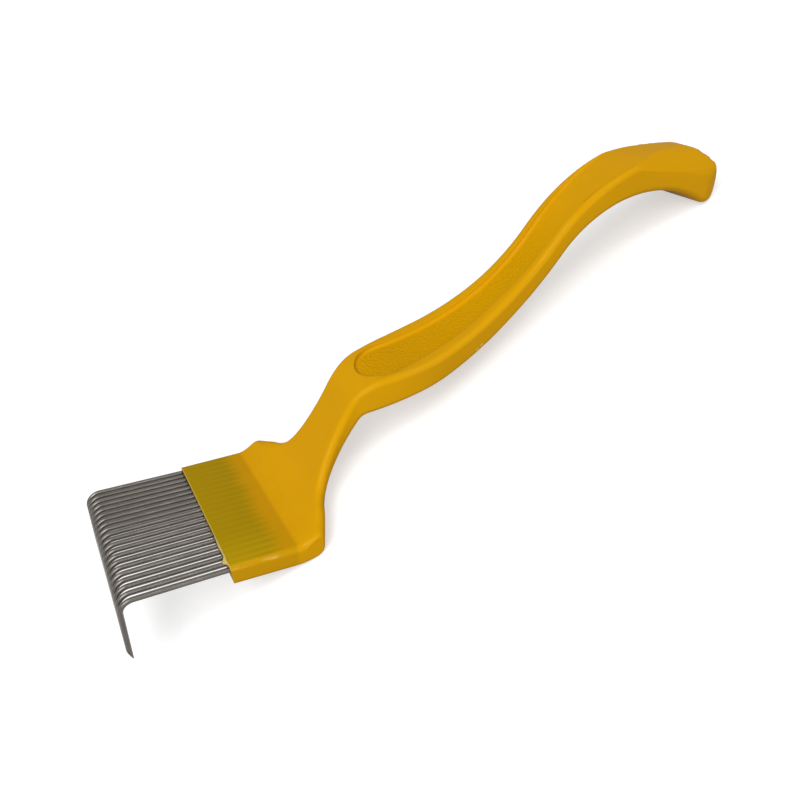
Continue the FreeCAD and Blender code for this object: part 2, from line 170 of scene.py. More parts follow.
class FORK_PG_plastic(bpy.types.PropertyGroup):
    """The moulded handle's finish."""
    yellow: FloatVectorProperty(
        name="Yellow", description="Main colour of the moulding",
        subtype="COLOR", size=3, default=(0.64, 0.315, 0.0010), min=0, max=1)
    # Deep yellow also darkens the head block in front of the step, partly as painted shade, and is
    # the base of the painted shade along the recess rim.
    deep_yellow: FloatVectorProperty(
        name="Deep Yellow", description="Colour where the plastic is thick and clear",
        subtype="COLOR", size=3, default=(0.54, 0.275, 0.0008), min=0, max=1)
    olive: FloatVectorProperty(
        name="Olive", description="Colour over the steel roots",
        subtype="COLOR", size=3, default=(0.40, 0.254, 0.0010), min=0, max=1)
    olive_dark: FloatVectorProperty(
        name="Root Shadow", description="Colour straight over one root",
        subtype="COLOR", size=3, default=(0.30, 0.190, 0.0010), min=0, max=1)
    # Scuffed also colours the painted highlight along the head's front edge.
    scuff_and_highlight: FloatVectorProperty(
        name="Scuffed", description="Colour of worn edges and nicks",
        subtype="COLOR", size=3, default=(0.80, 0.56, 0.13), min=0, max=1)
    stipple_size: FloatProperty(
        name="Stipple Size", description="Spacing of the grain in the thumb recess",
        default=0.75 * MM, min=0, unit="LENGTH", subtype="DISTANCE", precision=5)
    stipple_depth: FloatProperty(
        name="Stipple Depth", description="Depth of the grain in the thumb recess",
        default=0.13 * MM, min=0, unit="LENGTH", subtype="DISTANCE", precision=6)
    tail_reach: FloatProperty(
        name="Tail Reach", description="How far from the tip the tail's edges melt away",
        default=30 * MM, min=0, unit="LENGTH", subtype="DISTANCE", precision=5)
    tail_rounds: IntProperty(
        name="Tail Rounds", description="Rounds of evening out at the tail",
        default=220, min=0, max=600)
    tip_rounds: IntProperty(
        name="Tip Rounds", description="Rounds of melting at the tip itself",
        default=26, min=0, max=100)
    shoulder_swell: FloatProperty(
        name="Shoulder Swell", description="How far the shoulders stand out beside the neck",
        default=1.3 * MM, unit="LENGTH", subtype="DISTANCE", precision=5)
    sharp_angle: FloatProperty(
        name="Sharp Angle", description="Edges that turn more than this stay crisp",
        default=math.radians(32), subtype="ANGLE", unit="ROTATION")


class FORK_PG_stage(bpy.types.PropertyGroup):
    """Floor, light and camera."""
    floor: FloatVectorProperty(
        name="Floor", description="Colour of the floor",
        subtype="COLOR", size=3, default=(0.55, 0.55, 0.55), min=0, max=1)
    world_light: FloatProperty(
        name="World Light", description="Strength of the even light from all round",
        default=0.21, min=0)
    key_light: FloatProperty(
        name="Key Light", description="Power of the large soft lamp over the head",
        default=8.9, min=0, unit="POWER")
    front_light: FloatProperty(
        name="Front Light", description="Power of the low lamp in front of the needles",
        default=1.2, min=0, unit="POWER")
    glint_light: FloatProperty(
        name="Glint Light", description="Power of the small lamp that picks out the edges",
        default=1.3, min=0, unit="POWER")
    lens: FloatProperty(
        name="Lens", description="Focal length of the camera",
        default=33.077 * MM, unit="CAMERA", subtype="DISTANCE_CAMERA")


# ---------------------------------------------------------------- helpers

def rest_turn():
    """Matrix from the level needle row, with its bends' corner at the origin, to the fork at
    rest. The turn comes from the sole's mount, the place from the root end of needle 1."""
    sizes = bpy.context.scene.fork_needles
    sole = next(m for m in frame["record"]["mounts"] if m["name"] == "head_sole")
    tilt = math.atan2(-sole["axis"][0], -sole["axis"][2])
    low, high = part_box(NEEDLE_NODES[0])
    length, radius = sizes.free_length + sizes.root_length, sizes.wire / 2
    across, rise = math.cos(tilt), math.sin(tilt)
    corner = Vector((high.x - length * across - radius * rise, 0,
                     low.z + length * rise + radius * across))
    return Matrix.Translation(corner) @ Matrix.Rotation(tilt, 4, "Y")


def add_node(tree, kind, inputs=None, **settings):
    """New node with its settings and inputs; an input takes a value or another node's output."""
    node = tree.nodes.new(kind)
    for name, value in settings.items():
        setattr(node, name, value)
    for key, value in (inputs or {}).items():
        if isinstance(value, bpy.types.NodeSocket):
            tree.links.new(value, node.inputs[key])
        else:
            node.inputs[key].default_value = value
    return node


def add_math(tree, operation, first, second=0.0):
    """Output of a new math node."""
    node = add_node(tree, "ShaderNodeMath", {0: first, 1: second}, operation=operation)
    return node.outputs[0]


def add_step(tree, value, start, end, low=0.0, high=1.0):
    """Soft step from low to high as the value goes from start to end."""
    node = add_node(tree, "ShaderNodeMapRange",
                    {"Value": value, "From Min": start, "From Max": end,
                     "To Min": low, "To Max": high}, interpolation_type="SMOOTHSTEP")
    return node.outputs["Result"]


def add_mix(tree, factor, first, second):
    """Colour between the first and the second, by the factor."""
    node = add_node(tree, "ShaderNodeMix", {0: factor, 6: first, 7: second},
                    data_type="RGBA")
    return node.outputs[2]


def background_ray(tree):
    """One where a ray shows the background: seen by the camera, or in metal or clear plastic."""
    path = add_node(tree, "ShaderNodeLightPath")
    return add_math(tree, "MAXIMUM", path.outputs["Is Camera Ray"],
                    add_math(tree, "MAXIMUM", path.outputs["Is Glossy Ray"],
                             path.outputs["Is Transmission Ray"]))


def colour(value):
    """Colour with full opacity."""
    return (*value, 1.0)


def new_object(name, data):
    """Object at the origin, linked to the scene, that shows this data."""
    made = bpy.data.objects.new(name, data)
    bpy.context.scene.collection.objects.link(made)
    return made


def applied(obj, name):
    """Plain mesh of the object with its modifiers applied."""
    graph = bpy.context.evaluated_depsgraph_get()
    mesh = bpy.data.meshes.new_from_object(obj.evaluated_get(graph),
                                           preserve_all_data_layers=True, depsgraph=graph)
    mesh.name = name
    return mesh


def new_material(name):
    """Empty node material with its tree and its output."""
    material = bpy.data.materials.new(name)
    material.use_nodes = True
    tree = material.node_tree
    tree.nodes.clear()
    output = tree.nodes.new("ShaderNodeOutputMaterial")
    return material, tree, output


def head_place(tree, turn):
    """Object coordinates turned to the level head, in millimetres."""
    back = turn.inverted()
    where = add_node(tree, "ShaderNodeTexCoord").outputs["Object"]
    mapping = add_node(tree, "ShaderNodeMapping", {"Vector": where}, vector_type="POINT")
    mapping.inputs["Location"].default_value = back.translation / MM
    mapping.inputs["Rotation"].default_value = back.to_euler()
    mapping.inputs["Scale"].default_value = (1 / MM,) * 3
    return mapping.outputs[0]


# ---------------------------------------------------------------- shared shader groups

def new_group(name, inputs, outputs):
    """Shader group with these sockets, and its two end nodes."""
    group = bpy.data.node_groups.new(name, "ShaderNodeTree")
    for label, kind, default in inputs:
        socket = group.interface.new_socket(name=label, in_out="INPUT", socket_type=kind)
        if default is not None:
            socket.default_value = default
    for label, kind in outputs:
        group.interface.new_socket(name=label, in_out="OUTPUT", socket_type=kind)
    return group, group.nodes.new("NodeGroupInput"), group.nodes.new("NodeGroupOutput")


def moulded_grain_group():
    """Faint orange peel, flow streaks and scuffs of moulded plastic."""
    group, given, result = new_group(
        "moulded_grain",
        [("Place", "NodeSocketVector", None), ("Peel Size", "NodeSocketFloat", 1.6),
         ("Streak Length", "NodeSocketFloat", 26.0), ("Scuff Size", "NodeSocketFloat", 1.1)],
        [("Height", "NodeSocketFloat"), ("Streak", "NodeSocketFloat"),
         ("Scuff", "NodeSocketFloat")])
    place = given.outputs["Place"]
    peel = add_node(group, "ShaderNodeTexNoise", {
        "Vector": place, "Scale": add_math(group, "DIVIDE", 1.0, given.outputs["Peel Size"]),
        "Detail": 2.0})
    stretch = add_node(group, "ShaderNodeVectorMath",
                       {0: place, 1: (0.16, 1.0, 0.6)}, operation="MULTIPLY")
    streak = add_node(group, "ShaderNodeTexNoise", {
        "Vector": stretch.outputs[0],
        "Scale": add_math(group, "DIVIDE", 4.0, given.outputs["Streak Length"]),
        "Detail": 3.0})
    drawn = add_node(group, "ShaderNodeVectorMath",
                     {0: place, 1: (0.22, 1.0, 1.0)}, operation="MULTIPLY")
    scuff = add_node(group, "ShaderNodeTexNoise", {
        "Vector": drawn.outputs[0],
        "Scale": add_math(group, "DIVIDE", 1.0, given.outputs["Scuff Size"]), "Detail": 3.0})
    group.links.new(peel.outputs["Fac"], result.inputs["Height"])
    group.links.new(streak.outputs["Fac"], result.inputs["Streak"])
    group.links.new(scuff.outputs["Fac"], result.inputs["Scuff"])
    return group


def root_shadow_group():
    """Steel roots that show through the clear plastic of the head: the whole band, and each
    root by itself, with root ends of uneven length."""
    group, given, result = new_group(
        "root_shadow",
        [("Place", "NodeSocketVector", None), ("Pitch", "NodeSocketFloat", 2.25),
         ("Half Row", "NodeSocketFloat", 22.5), ("Root End", "NodeSocketFloat", 39.4)],
        [("Band", "NodeSocketFloat"), ("Root", "NodeSocketFloat")])
    split = add_node(group, "ShaderNodeSeparateXYZ", {0: given.outputs["Place"]})
    along, across = split.outputs[0], split.outputs[1]
    pitch = given.outputs["Pitch"]
    number = add_math(group, "ROUND", add_math(group, "DIVIDE", across, pitch))
    offset = add_math(group, "ABSOLUTE",
                      add_math(group, "SUBTRACT", across,
                               add_math(group, "MULTIPLY", number, pitch)))
    chance = add_node(group, "ShaderNodeTexWhiteNoise", {"W": number},
                      noise_dimensions="1D").outputs["Value"]
    end = add_math(group, "ADD", given.outputs["Root End"],
                   add_math(group, "MULTIPLY", add_math(group, "SUBTRACT", chance, 0.6), 1.2))
    notch = add_math(group, "MULTIPLY", add_math(group, "MULTIPLY", offset, offset), 0.5)
    past = add_math(group, "ADD", add_math(group, "SUBTRACT", along, end), notch)
    short = add_step(group, past, -3.0, 2.4, 1.0, 0.0)
    side = add_math(group, "SUBTRACT", add_math(group, "ABSOLUTE", across),
                    given.outputs["Half Row"])
    within = add_step(group, side, -0.1, 1.1, 1.0, 0.0)
    band = add_math(group, "MULTIPLY", short, within)
    stripe = add_step(group, offset, 0.1, 1.1, 1.0, 0.0)
    group.links.new(band, result.inputs["Band"])
    group.links.new(add_math(group, "MULTIPLY", band, stripe), result.inputs["Root"])
    return group


def tongue_group():
    """Depth inside the outline of the thumb recess: a round nose and slowly closing sides."""
    group, given, result = new_group(
        "thumb_tongue",
        [("Place", "NodeSocketVector", None), ("Start", "NodeSocketFloat", 70.5),
         ("Radius", "NodeSocketFloat", 8.2), ("Taper", "NodeSocketFloat", 0.098),
         ("Waist", "NodeSocketFloat", 5.0)],
        [("Inside", "NodeSocketFloat")])
    split = add_node(group, "ShaderNodeSeparateXYZ", {0: given.outputs["Place"]})
    along, across = split.outputs[0], split.outputs[1]
    radius = given.outputs["Radius"]
    centre = add_math(group, "ADD", given.outputs["Start"], radius)
    reach = add_math(group, "SUBTRACT", along, centre)
    ahead = add_math(group, "MINIMUM", reach, 0.0)
    behind = add_math(group, "MAXIMUM", reach, 0.0)
    nose = add_math(group, "SQRT", add_math(
        group, "ADD", add_math(group, "MULTIPLY", ahead, ahead),
        add_math(group, "MULTIPLY", across, across)))
    half = add_math(group, "MAXIMUM", given.outputs["Waist"],
                    add_math(group, "SUBTRACT", radius,
                             add_math(group, "MULTIPLY", behind, given.outputs["Taper"])))
    group.links.new(add_math(group, "SUBTRACT", half, nose), result.inputs["Inside"])
    return group


# ---------------------------------------------------------------- materials

def plastic_material(turn):
    """Glossy yellow moulding: olive over the steel roots, stippled in the thumb recess."""
    look, sizes = bpy.context.scene.fork_plastic, bpy.context.scene.fork_needles
    material, tree, output = new_material("yellow_moulding")
    place = head_place(tree, turn)
    split = add_node(tree, "ShaderNodeSeparateXYZ", {0: place})
    along, across = split.outputs[0], split.outputs[1]
    normal = add_node(tree, "ShaderNodeNewGeometry").outputs["Normal"]
    facing = add_node(tree, "ShaderNodeVectorMath",
                      {0: normal, 1: turn.to_3x3() @ Vector((0, 0, 1))},
                      operation="DOT_PRODUCT").outputs["Value"]

    grain = add_node(tree, "ShaderNodeGroup", {}, node_tree=moulded_grain_group())
    tree.links.new(place, grain.inputs["Place"])
    roots = add_node(tree, "ShaderNodeGroup", {}, node_tree=root_shadow_group())
    tree.links.new(place, roots.inputs["Place"])
    roots.inputs["Pitch"].default_value = sizes.pitch / MM
    roots.inputs["Half Row"].default_value = sizes.pitch * (sizes.count - 1) / 2 / MM
    roots.inputs["Root End"].default_value = (sizes.free_length + sizes.root_length) / MM
    tongue = add_node(tree, "ShaderNodeGroup", {}, node_tree=tongue_group())
    tree.links.new(place, tongue.inputs["Place"])

    # colour: darker block in front of the step, partly the thicker clear plastic and partly
    # painted shade; olive band over the roots
    clear = add_step(tree, along, *CLEAR_AND_SHADE_END, 1.0, 0.0)
    shade = add_mix(tree, add_math(tree, "MULTIPLY", clear, 0.8),
                    colour(look.yellow), colour(look.deep_yellow))
    streaked = add_mix(tree, add_step(tree, grain.outputs["Streak"], 0.35, 0.75, 0.0, 0.22),
                       shade, colour(look.deep_yellow))
    seen = add_step(tree, facing, 0.2, 0.75, 0.25, 1.0)
    band = add_math(tree, "MULTIPLY", roots.outputs["Band"], seen)
    # painted light: the olive band is lighter towards its near side
    near_side_light = add_step(tree, across, *NEAR_OLIVE_LIGHT, 0.0, 0.6)
    olive = add_mix(tree, band, streaked,
                    add_mix(tree, near_side_light, colour(look.olive),
                            colour([1.35 * part for part in look.olive])))
    root = add_math(tree, "MULTIPLY", roots.outputs["Root"],
                    add_math(tree, "MULTIPLY", seen,
                             add_step(tree, along, *ROOTS_DARKEN, 0.2, 0.5)))
    shadowed = add_mix(tree, root, olive, colour(look.olive_dark))

    # stipple in the recess
    floor = add_math(tree, "MULTIPLY",
                     add_step(tree, tongue.outputs["Inside"], 0.5, 1.5),
                     add_math(tree, "MULTIPLY", add_step(tree, facing, 0.0, 0.3),
                              add_step(tree, along, *RECESS_FADE, 1.0, 0.0)))
    dots = add_node(tree, "ShaderNodeTexVoronoi",
                    {"Vector": place, "Scale": MM / look.stipple_size, "Randomness": 1.0})
    dot = add_step(tree, dots.outputs["Distance"], 0.15, 0.75)
    dotted = add_mix(tree, add_math(tree, "MULTIPLY", floor,
                                    add_math(tree, "MULTIPLY", dot, 0.55)),
                     shadowed, colour(look.deep_yellow))
    # painted shade: a darker line along the recess's near rim
    rim_shade = add_math(tree, "MULTIPLY", add_step(tree, tongue.outputs["Inside"], -0.5, 0.1),
                   add_math(tree, "MULTIPLY",
                            add_step(tree, tongue.outputs["Inside"], 0.1, 0.9, 1.0, 0.0),
                            add_step(tree, along, *RIM_SHADE_FADE, 0.6, 0.0)))
    rim_shade = add_math(tree, "MULTIPLY", rim_shade, add_step(tree, across, *RIM_SHADE_SIDE, 0.8, 0.0))
    dotted = add_mix(tree, add_math(tree, "MULTIPLY", rim_shade, add_step(tree, facing, 0.0, 0.3)),
                     dotted, colour([0.6 * part for part in look.deep_yellow]))

    # painted highlight: a pale line along the head's front edge; wear: scuffs along the head's
    # rounded sides, two nicks in the grip
    front = add_step(tree, add_math(tree, "SUBTRACT", along, sizes.free_length / MM),
                     0.05, 0.35, 0.6, 0.0)
    front = add_math(tree, "MULTIPLY", front, add_step(tree, facing, 0.3, 0.6))
    side = add_math(tree, "SUBTRACT", add_math(tree, "ABSOLUTE", across), ROUNDED_SIDE)
    scuff = add_math(tree, "MULTIPLY", add_step(tree, side, 0.0, 0.6),
                     add_math(tree, "MULTIPLY", add_step(tree, along, *SCUFF_END, 1.0, 0.0),
                              add_step(tree, facing, 0.25, 0.5)))
    scuff = add_math(tree, "MULTIPLY", scuff,
                     add_step(tree, grain.outputs["Scuff"], 0.52, 0.66, 0.0, 0.55))
    beside = add_node(tree, "ShaderNodeVectorMath", {0: place, 1: (1.0, 0.02, 1.0)},
                      operation="MULTIPLY").outputs[0]
    nicks = [add_step(tree, add_node(tree, "ShaderNodeVectorMath", {0: beside, 1: spot},
                                     operation="DISTANCE").outputs["Value"], 0.25, 0.6, 0.6, 0.0)
             for spot in NICKS]
    # wear, and the painted highlight along the front edge
    wear_and_highlight = add_math(tree, "MAXIMUM", add_math(tree, "MAXIMUM", front, scuff),
                    add_math(tree, "MULTIPLY", add_math(tree, "MAXIMUM", *nicks),
                             add_step(tree, across, *NICK_SIDE, 1.0, 0.0)))
    dotted = add_mix(tree, wear_and_highlight, dotted, colour(look.scuff_and_highlight))

    # relief, gloss and the shader; the coat gives the highlights
    stipple = add_math(tree, "MULTIPLY", add_math(tree, "MULTIPLY", dot, floor),
                       look.stipple_depth / MM)
    height = add_math(tree, "SUBTRACT",
                      add_math(tree, "MULTIPLY", grain.outputs["Height"], 0.012), stipple)
    bump = add_node(tree, "ShaderNodeBump",
                    {"Height": height, "Distance": MM, "Strength": 1.0})
    rough = add_math(tree, "ADD", add_math(tree, "MULTIPLY", floor, 0.12),
                     add_step(tree, grain.outputs["Streak"], 0.2, 0.8, 0.22, 0.30))
    shader = add_node(tree, "ShaderNodeBsdfPrincipled", {
        "Base Color": dotted, "Roughness": rough, "Normal": bump.outputs[0],
        "Specular IOR Level": 0.0, "Coat Roughness": 0.15,
        "Coat Weight": add_math(tree, "SUBTRACT", 0.08, add_math(tree, "MULTIPLY", floor, 0.05))})
    tree.links.new(shader.outputs[0], output.inputs["Surface"])
    return material


def steel_material():
    """Drawn stainless wire: fine marks along the wire, duller than polished steel."""
    sizes = bpy.context.scene.fork_needles
    material, tree, output = new_material("drawn_steel")
    along = add_node(tree, "ShaderNodeAttribute", {}, attribute_name="along").outputs["Fac"]
    around = add_node(tree, "ShaderNodeAttribute", {}, attribute_name="around").outputs["Fac"]
    number = add_node(tree, "ShaderNodeAttribute", {}, attribute_name="needle").outputs["Fac"]
    wire = add_node(tree, "ShaderNodeCombineXYZ", {
        0: add_math(tree, "MULTIPLY", along, 260.0),
        1: add_math(tree, "MULTIPLY", around, 34.0),
        2: add_math(tree, "MULTIPLY", number, 7.3)}).outputs[0]
    marks = add_node(tree, "ShaderNodeTexNoise", {"Vector": wire, "Scale": 1.0, "Detail": 4.0})
    patch = add_node(tree, "ShaderNodeTexNoise", {
        "Vector": add_node(tree, "ShaderNodeTexCoord").outputs["Object"],
        "Scale": 160.0, "Detail": 3.0})
    chance = add_node(tree, "ShaderNodeTexWhiteNoise", {"W": number},
                      noise_dimensions="1D").outputs["Value"]
    share = add_math(tree, "ADD", add_step(tree, marks.outputs["Fac"], 0.3, 0.7, 0.0, 0.5),
                     add_math(tree, "MULTIPLY", chance, 0.2))
    tone = add_mix(tree, share, colour(sizes.steel), colour(sizes.steel_dark))
    rough = add_math(tree, "ADD", add_step(tree, patch.outputs["Fac"], 0.3, 0.7, 0.26, 0.34),
                     add_math(tree, "MULTIPLY", marks.outputs["Fac"], 0.08))
    bump = add_node(tree, "ShaderNodeBump", {
        "Height": marks.outputs["Fac"], "Distance": 0.012 * MM, "Strength": 1.0})
    shader = add_node(tree, "ShaderNodeBsdfPrincipled", {
        "Base Color": tone, "Metallic": 1.0, "Roughness": rough, "Normal": bump.outputs[0]})
    tree.links.new(shader.outputs[0], output.inputs["Surface"])
    return material


def flash_material(turn):
    """Thin clear flash squeezed out where the needles leave the mould."""
    material, tree, output = new_material("clear_flash")
    grain = add_node(tree, "ShaderNodeGroup", {}, node_tree=moulded_grain_group())
    tree.links.new(head_place(tree, turn), grain.inputs["Place"])
    grain.inputs["Peel Size"].default_value = 0.5
    tone = add_mix(tree, grain.outputs["Streak"], (0.80, 0.62, 0.10, 1), (0.72, 0.58, 0.22, 1))
    bump = add_node(tree, "ShaderNodeBump", {
        "Height": grain.outputs["Height"], "Distance": 0.05 * MM, "Strength": 1.0})
    shader = add_node(tree, "ShaderNodeBsdfPrincipled", {
        "Base Color": tone, "Roughness": 0.18, "Normal": bump.outputs[0],
        "IOR": 1.46, "Transmission Weight": 0.35})
    tree.links.new(shader.outputs[0], output.inputs["Surface"])
    return material


def floor_material():
    """Plain pale floor, white to the camera; its glow is weaker round the fork, so that the
    fork's shadow shows."""
    material, tree, output = new_material("white_floor")
    seen = background_ray(tree)
    where = add_node(tree, "ShaderNodeTexCoord").outputs["Object"]
    away = add_node(tree, "ShaderNodeVectorMath", {0: where},
                    operation="LENGTH").outputs["Value"]
    glow = add_step(tree, away, *GLOW_REACH, GLOW_NEAR, 1.0)
    shader = add_node(tree, "ShaderNodeBsdfPrincipled", {
        "Base Color": colour(bpy.context.scene.fork_stage.floor), "Roughness": 0.9,
        "Specular IOR Level": 0.0, "Emission Color": (1, 1, 1, 1),
        "Emission Strength": add_math(tree, "MULTIPLY", seen, glow)})
    tree.links.new(shader.outputs[0], output.inputs["Surface"])
    return material


# ---------------------------------------------------------------- needle row

def needle_row_tree():
    """Row of bent, ground needles: one swept wire, repeated along a crowned line."""
    tree = bpy.data.node_groups.new("needle_row", "GeometryNodeTree")
    new = tree.interface.new_socket
    for label, kind in (
            ("Count", "NodeSocketInt"), ("Pitch", "NodeSocketFloat"),
            ("Crown", "NodeSocketFloat"), ("Wire", "NodeSocketFloat"),
            ("Total Length", "NodeSocketFloat"), ("Bend Radius", "NodeSocketFloat"),
            ("Bend Turn", "NodeSocketFloat"), ("Leg Length", "NodeSocketFloat"),
            ("Bevel Length", "NodeSocketFloat"), ("Sides", "NodeSocketInt"),
            ("Steel", "NodeSocketMaterial")):
        new(name=label, in_out="INPUT", socket_type=kind)
    new(name="Geometry", in_out="OUTPUT", socket_type="NodeSocketGeometry")
    given = tree.nodes.new("NodeGroupInput").outputs
    result = tree.nodes.new("NodeGroupOutput")

    def math_node(operation, first, second=0.0):
        return add_math(tree, operation, first, second)

    def vector(x=0.0, y=0.0, z=0.0):
        return add_node(tree, "ShaderNodeCombineXYZ", {0: x, 1: y, 2: z}).outputs[0]

    def scaled(direction, length):
        return add_node(tree, "ShaderNodeVectorMath", {0: direction, "Scale": length},
                        operation="SCALE").outputs[0]

    # centre line: root end, corner of the bend, point
    cosine = math_node("COSINE", given["Bend Turn"])
    sine = math_node("SINE", given["Bend Turn"])
    down = vector(math_node("MULTIPLY", cosine, -1.0), 0.0, math_node("MULTIPLY", sine, -1.0))
    inward = vector(sine, 0.0, math_node("MULTIPLY", cosine, -1.0))
    tip = scaled(down, given["Leg Length"])
    straight = add_node(tree, "GeometryNodeCurvePrimitiveLine",
                        {"Start": (0, 0, 0), "End": (1, 0, 0)}, mode="POINTS").outputs[0]
    three = add_node(tree, "GeometryNodeResampleCurve", {"Curve": straight, "Count": 3})
    index = add_node(tree, "GeometryNodeInputIndex").outputs[0]
    corners = add_node(tree, "GeometryNodeIndexSwitch", {}, data_type="VECTOR")
    corners.index_switch_items.new()
    tree.links.new(index, corners.inputs["Index"])
    tree.links.new(vector(given["Total Length"]), corners.inputs[1])
    tree.links.new(tip, corners.inputs[3])
    bent = add_node(tree, "GeometryNodeSetPosition",
                    {"Geometry": three.outputs[0], "Position": corners.outputs[0]})
    rounded = add_node(tree, "GeometryNodeFilletCurve",
                       {"Curve": bent.outputs[0], "Count": 9, "Radius": given["Bend Radius"]},
                       mode="POLY")
    fine = add_node(tree, "GeometryNodeSubdivideCurve", {"Curve": rounded.outputs[0], "Cuts": 1})
    spline = add_node(tree, "GeometryNodeSplineParameter")
    line = add_node(tree, "GeometryNodeStoreNamedAttribute",
                    {"Geometry": fine.outputs[0], "Name": "along",
                     "Value": spline.outputs["Length"]}, data_type="FLOAT", domain="POINT")
    line = add_node(tree, "GeometryNodeStoreNamedAttribute",
                    {"Geometry": line.outputs[0], "Name": "share",
                     "Value": spline.outputs["Factor"]}, data_type="FLOAT", domain="POINT")

    # wire swept along it
    radius = math_node("MULTIPLY", given["Wire"], 0.5)
    ring = add_node(tree, "GeometryNodeCurvePrimitiveCircle",
                    {"Resolution": given["Sides"], "Radius": radius}, mode="RADIUS")
    ring = add_node(tree, "GeometryNodeStoreNamedAttribute",
                    {"Geometry": ring.outputs[0], "Name": "around",
                     "Value": spline.outputs["Factor"]}, data_type="FLOAT", domain="POINT")
    tube = add_node(tree, "GeometryNodeCurveToMesh",
                    {"Curve": line.outputs[0], "Profile Curve": ring.outputs[0],
                     "Fill Caps": True})

    # grinding: the last ring slides back along the leg, most at its outer side
    share = add_node(tree, "GeometryNodeInputNamedAttribute", {"Name": "share"},
                     data_type="FLOAT").outputs["Attribute"]
    last = add_node(tree, "FunctionNodeCompare", {0: share, 1: 0.9999},
                    data_type="FLOAT", operation="GREATER_THAN").outputs[0]
    place = add_node(tree, "GeometryNodeInputPosition").outputs[0]
    from_tip = add_node(tree, "ShaderNodeVectorMath", {0: place, 1: tip},
                        operation="SUBTRACT").outputs[0]
    depth = add_node(tree, "ShaderNodeVectorMath", {0: from_tip, 1: inward},
                     operation="DOT_PRODUCT").outputs["Value"]
    lost = math_node("MULTIPLY", math_node("DIVIDE", given["Bevel Length"], given["Wire"]),
                     math_node("SUBTRACT", depth, radius))
    ground = add_node(tree, "GeometryNodeSetPosition",
                      {"Geometry": tube.outputs[0], "Selection": last,
                       "Offset": scaled(down, lost)})

    # the row
    half = math_node("MULTIPLY", math_node("SUBTRACT", given["Count"], 1.0), 0.5)
    row = add_node(tree, "GeometryNodeMeshLine",
                   {"Count": given["Count"],
                    "Start Location": vector(0.0, math_node(
                        "MULTIPLY", math_node("MULTIPLY", half, given["Pitch"]), -1.0)),
                    "Offset": vector(0.0, given["Pitch"])}, mode="OFFSET")
    side = math_node("DIVIDE", math_node("SUBTRACT", index, half), half)
    rise = math_node("MULTIPLY", math_node("SUBTRACT", 1.0, math_node("MULTIPLY", side, side)),
                     given["Crown"])
    crowned = add_node(tree, "GeometryNodeSetPosition",
                       {"Geometry": row.outputs[0], "Offset": vector(0.0, 0.0, rise)})
    copies = add_node(tree, "GeometryNodeInstanceOnPoints",
                      {"Points": crowned.outputs[0], "Instance": ground.outputs[0]})
    numbered = add_node(tree, "GeometryNodeStoreNamedAttribute",
                        {"Geometry": copies.outputs[0], "Name": "needle", "Value": index},
                        data_type="FLOAT", domain="INSTANCE")
    smooth = add_node(tree, "GeometryNodeSetShadeSmooth",
                      {"Geometry": add_node(tree, "GeometryNodeRealizeInstances",
                                            {"Geometry": numbered.outputs[0]}).outputs[0]})
    dressed = add_node(tree, "GeometryNodeSetMaterial",
                       {"Geometry": smooth.outputs[0], "Material": given["Steel"]})
    tree.links.new(dressed.outputs[0], result.inputs[0])
    return tree


def set_input(modifier, label, value):
    """Give a Geometry Nodes modifier one of its named inputs."""
    socket = next(item for item in modifier.node_group.interface.items_tree
                  if item.name == label and item.in_out == "INPUT")
    modifier[socket.identifier] = value


class FORK_OT_needles(bpy.types.Operator):
    """Make the row of bent, ground needles"""
    bl_idname = "fork.needles"
    bl_label = "Needle Row"

    def execute(self, context):
        sizes = context.scene.fork_needles
        source = new_object("needle_row_source", bpy.data.meshes.new("needle_row_source"))
        modifier = source.modifiers.new("needle_row", "NODES")
        modifier.node_group = needle_row_tree()
        material = steel_material()
        for label, value in (
                ("Count", sizes.count), ("Pitch", sizes.pitch), ("Crown", sizes.crown),
                ("Wire", sizes.wire), ("Total Length", sizes.free_length + sizes.root_length),
                ("Bend Radius", sizes.bend_radius), ("Bend Turn", sizes.bend_turn),
                ("Leg Length", sizes.leg_length), ("Bevel Length", sizes.bevel_length),
                ("Sides", sizes.sides), ("Steel", material)):
            set_input(modifier, label, value)
        mesh = applied(source, "needle_row")
        bpy.data.objects.remove(source)
        if len(mesh.polygons) < sizes.count * sizes.sides:
            raise RuntimeError("the needle row came out empty")
        mesh.transform(rest_turn())
        mesh.set_sharp_from_angle(angle=NEEDLE_SHARP)
        row = new_object("needle_row", mesh)
        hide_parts(*NEEDLE_NODES)
        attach(row, "root")
        return {"FINISHED"}


# ---------------------------------------------------------------- handle

def cut_cells(work, low, high, size):
    """Cut the faces between two places along the handle into small cells."""
    def inside():
        return [face for face in work.faces if low < face.calc_center_median().x < high]

    def cut(faces, axis, place):
        parts = {part for face in faces for part in (face, *face.edges, *face.verts)}
        line = Vector([float(k == axis) for k in range(3)])
        bmesh.ops.bisect_plane(work, geom=list(parts), dist=0.001 * MM, plane_no=line,
                               plane_co=line * place)

    for place in (low, high):
        cut(work.faces, 0, place)
    for axis in range(3):
        spots = [vert.co[axis] for face in inside() for vert in face.verts]
        for number in range(math.ceil(min(spots) / size), math.floor(max(spots) / size) + 1):
            cut([face for face in inside()
                 if min(vert.co[axis] for vert in face.verts) < number * size
                 < max(vert.co[axis] for vert in face.verts)], axis, number * size)
    bmesh.ops.triangulate(work, faces=inside())


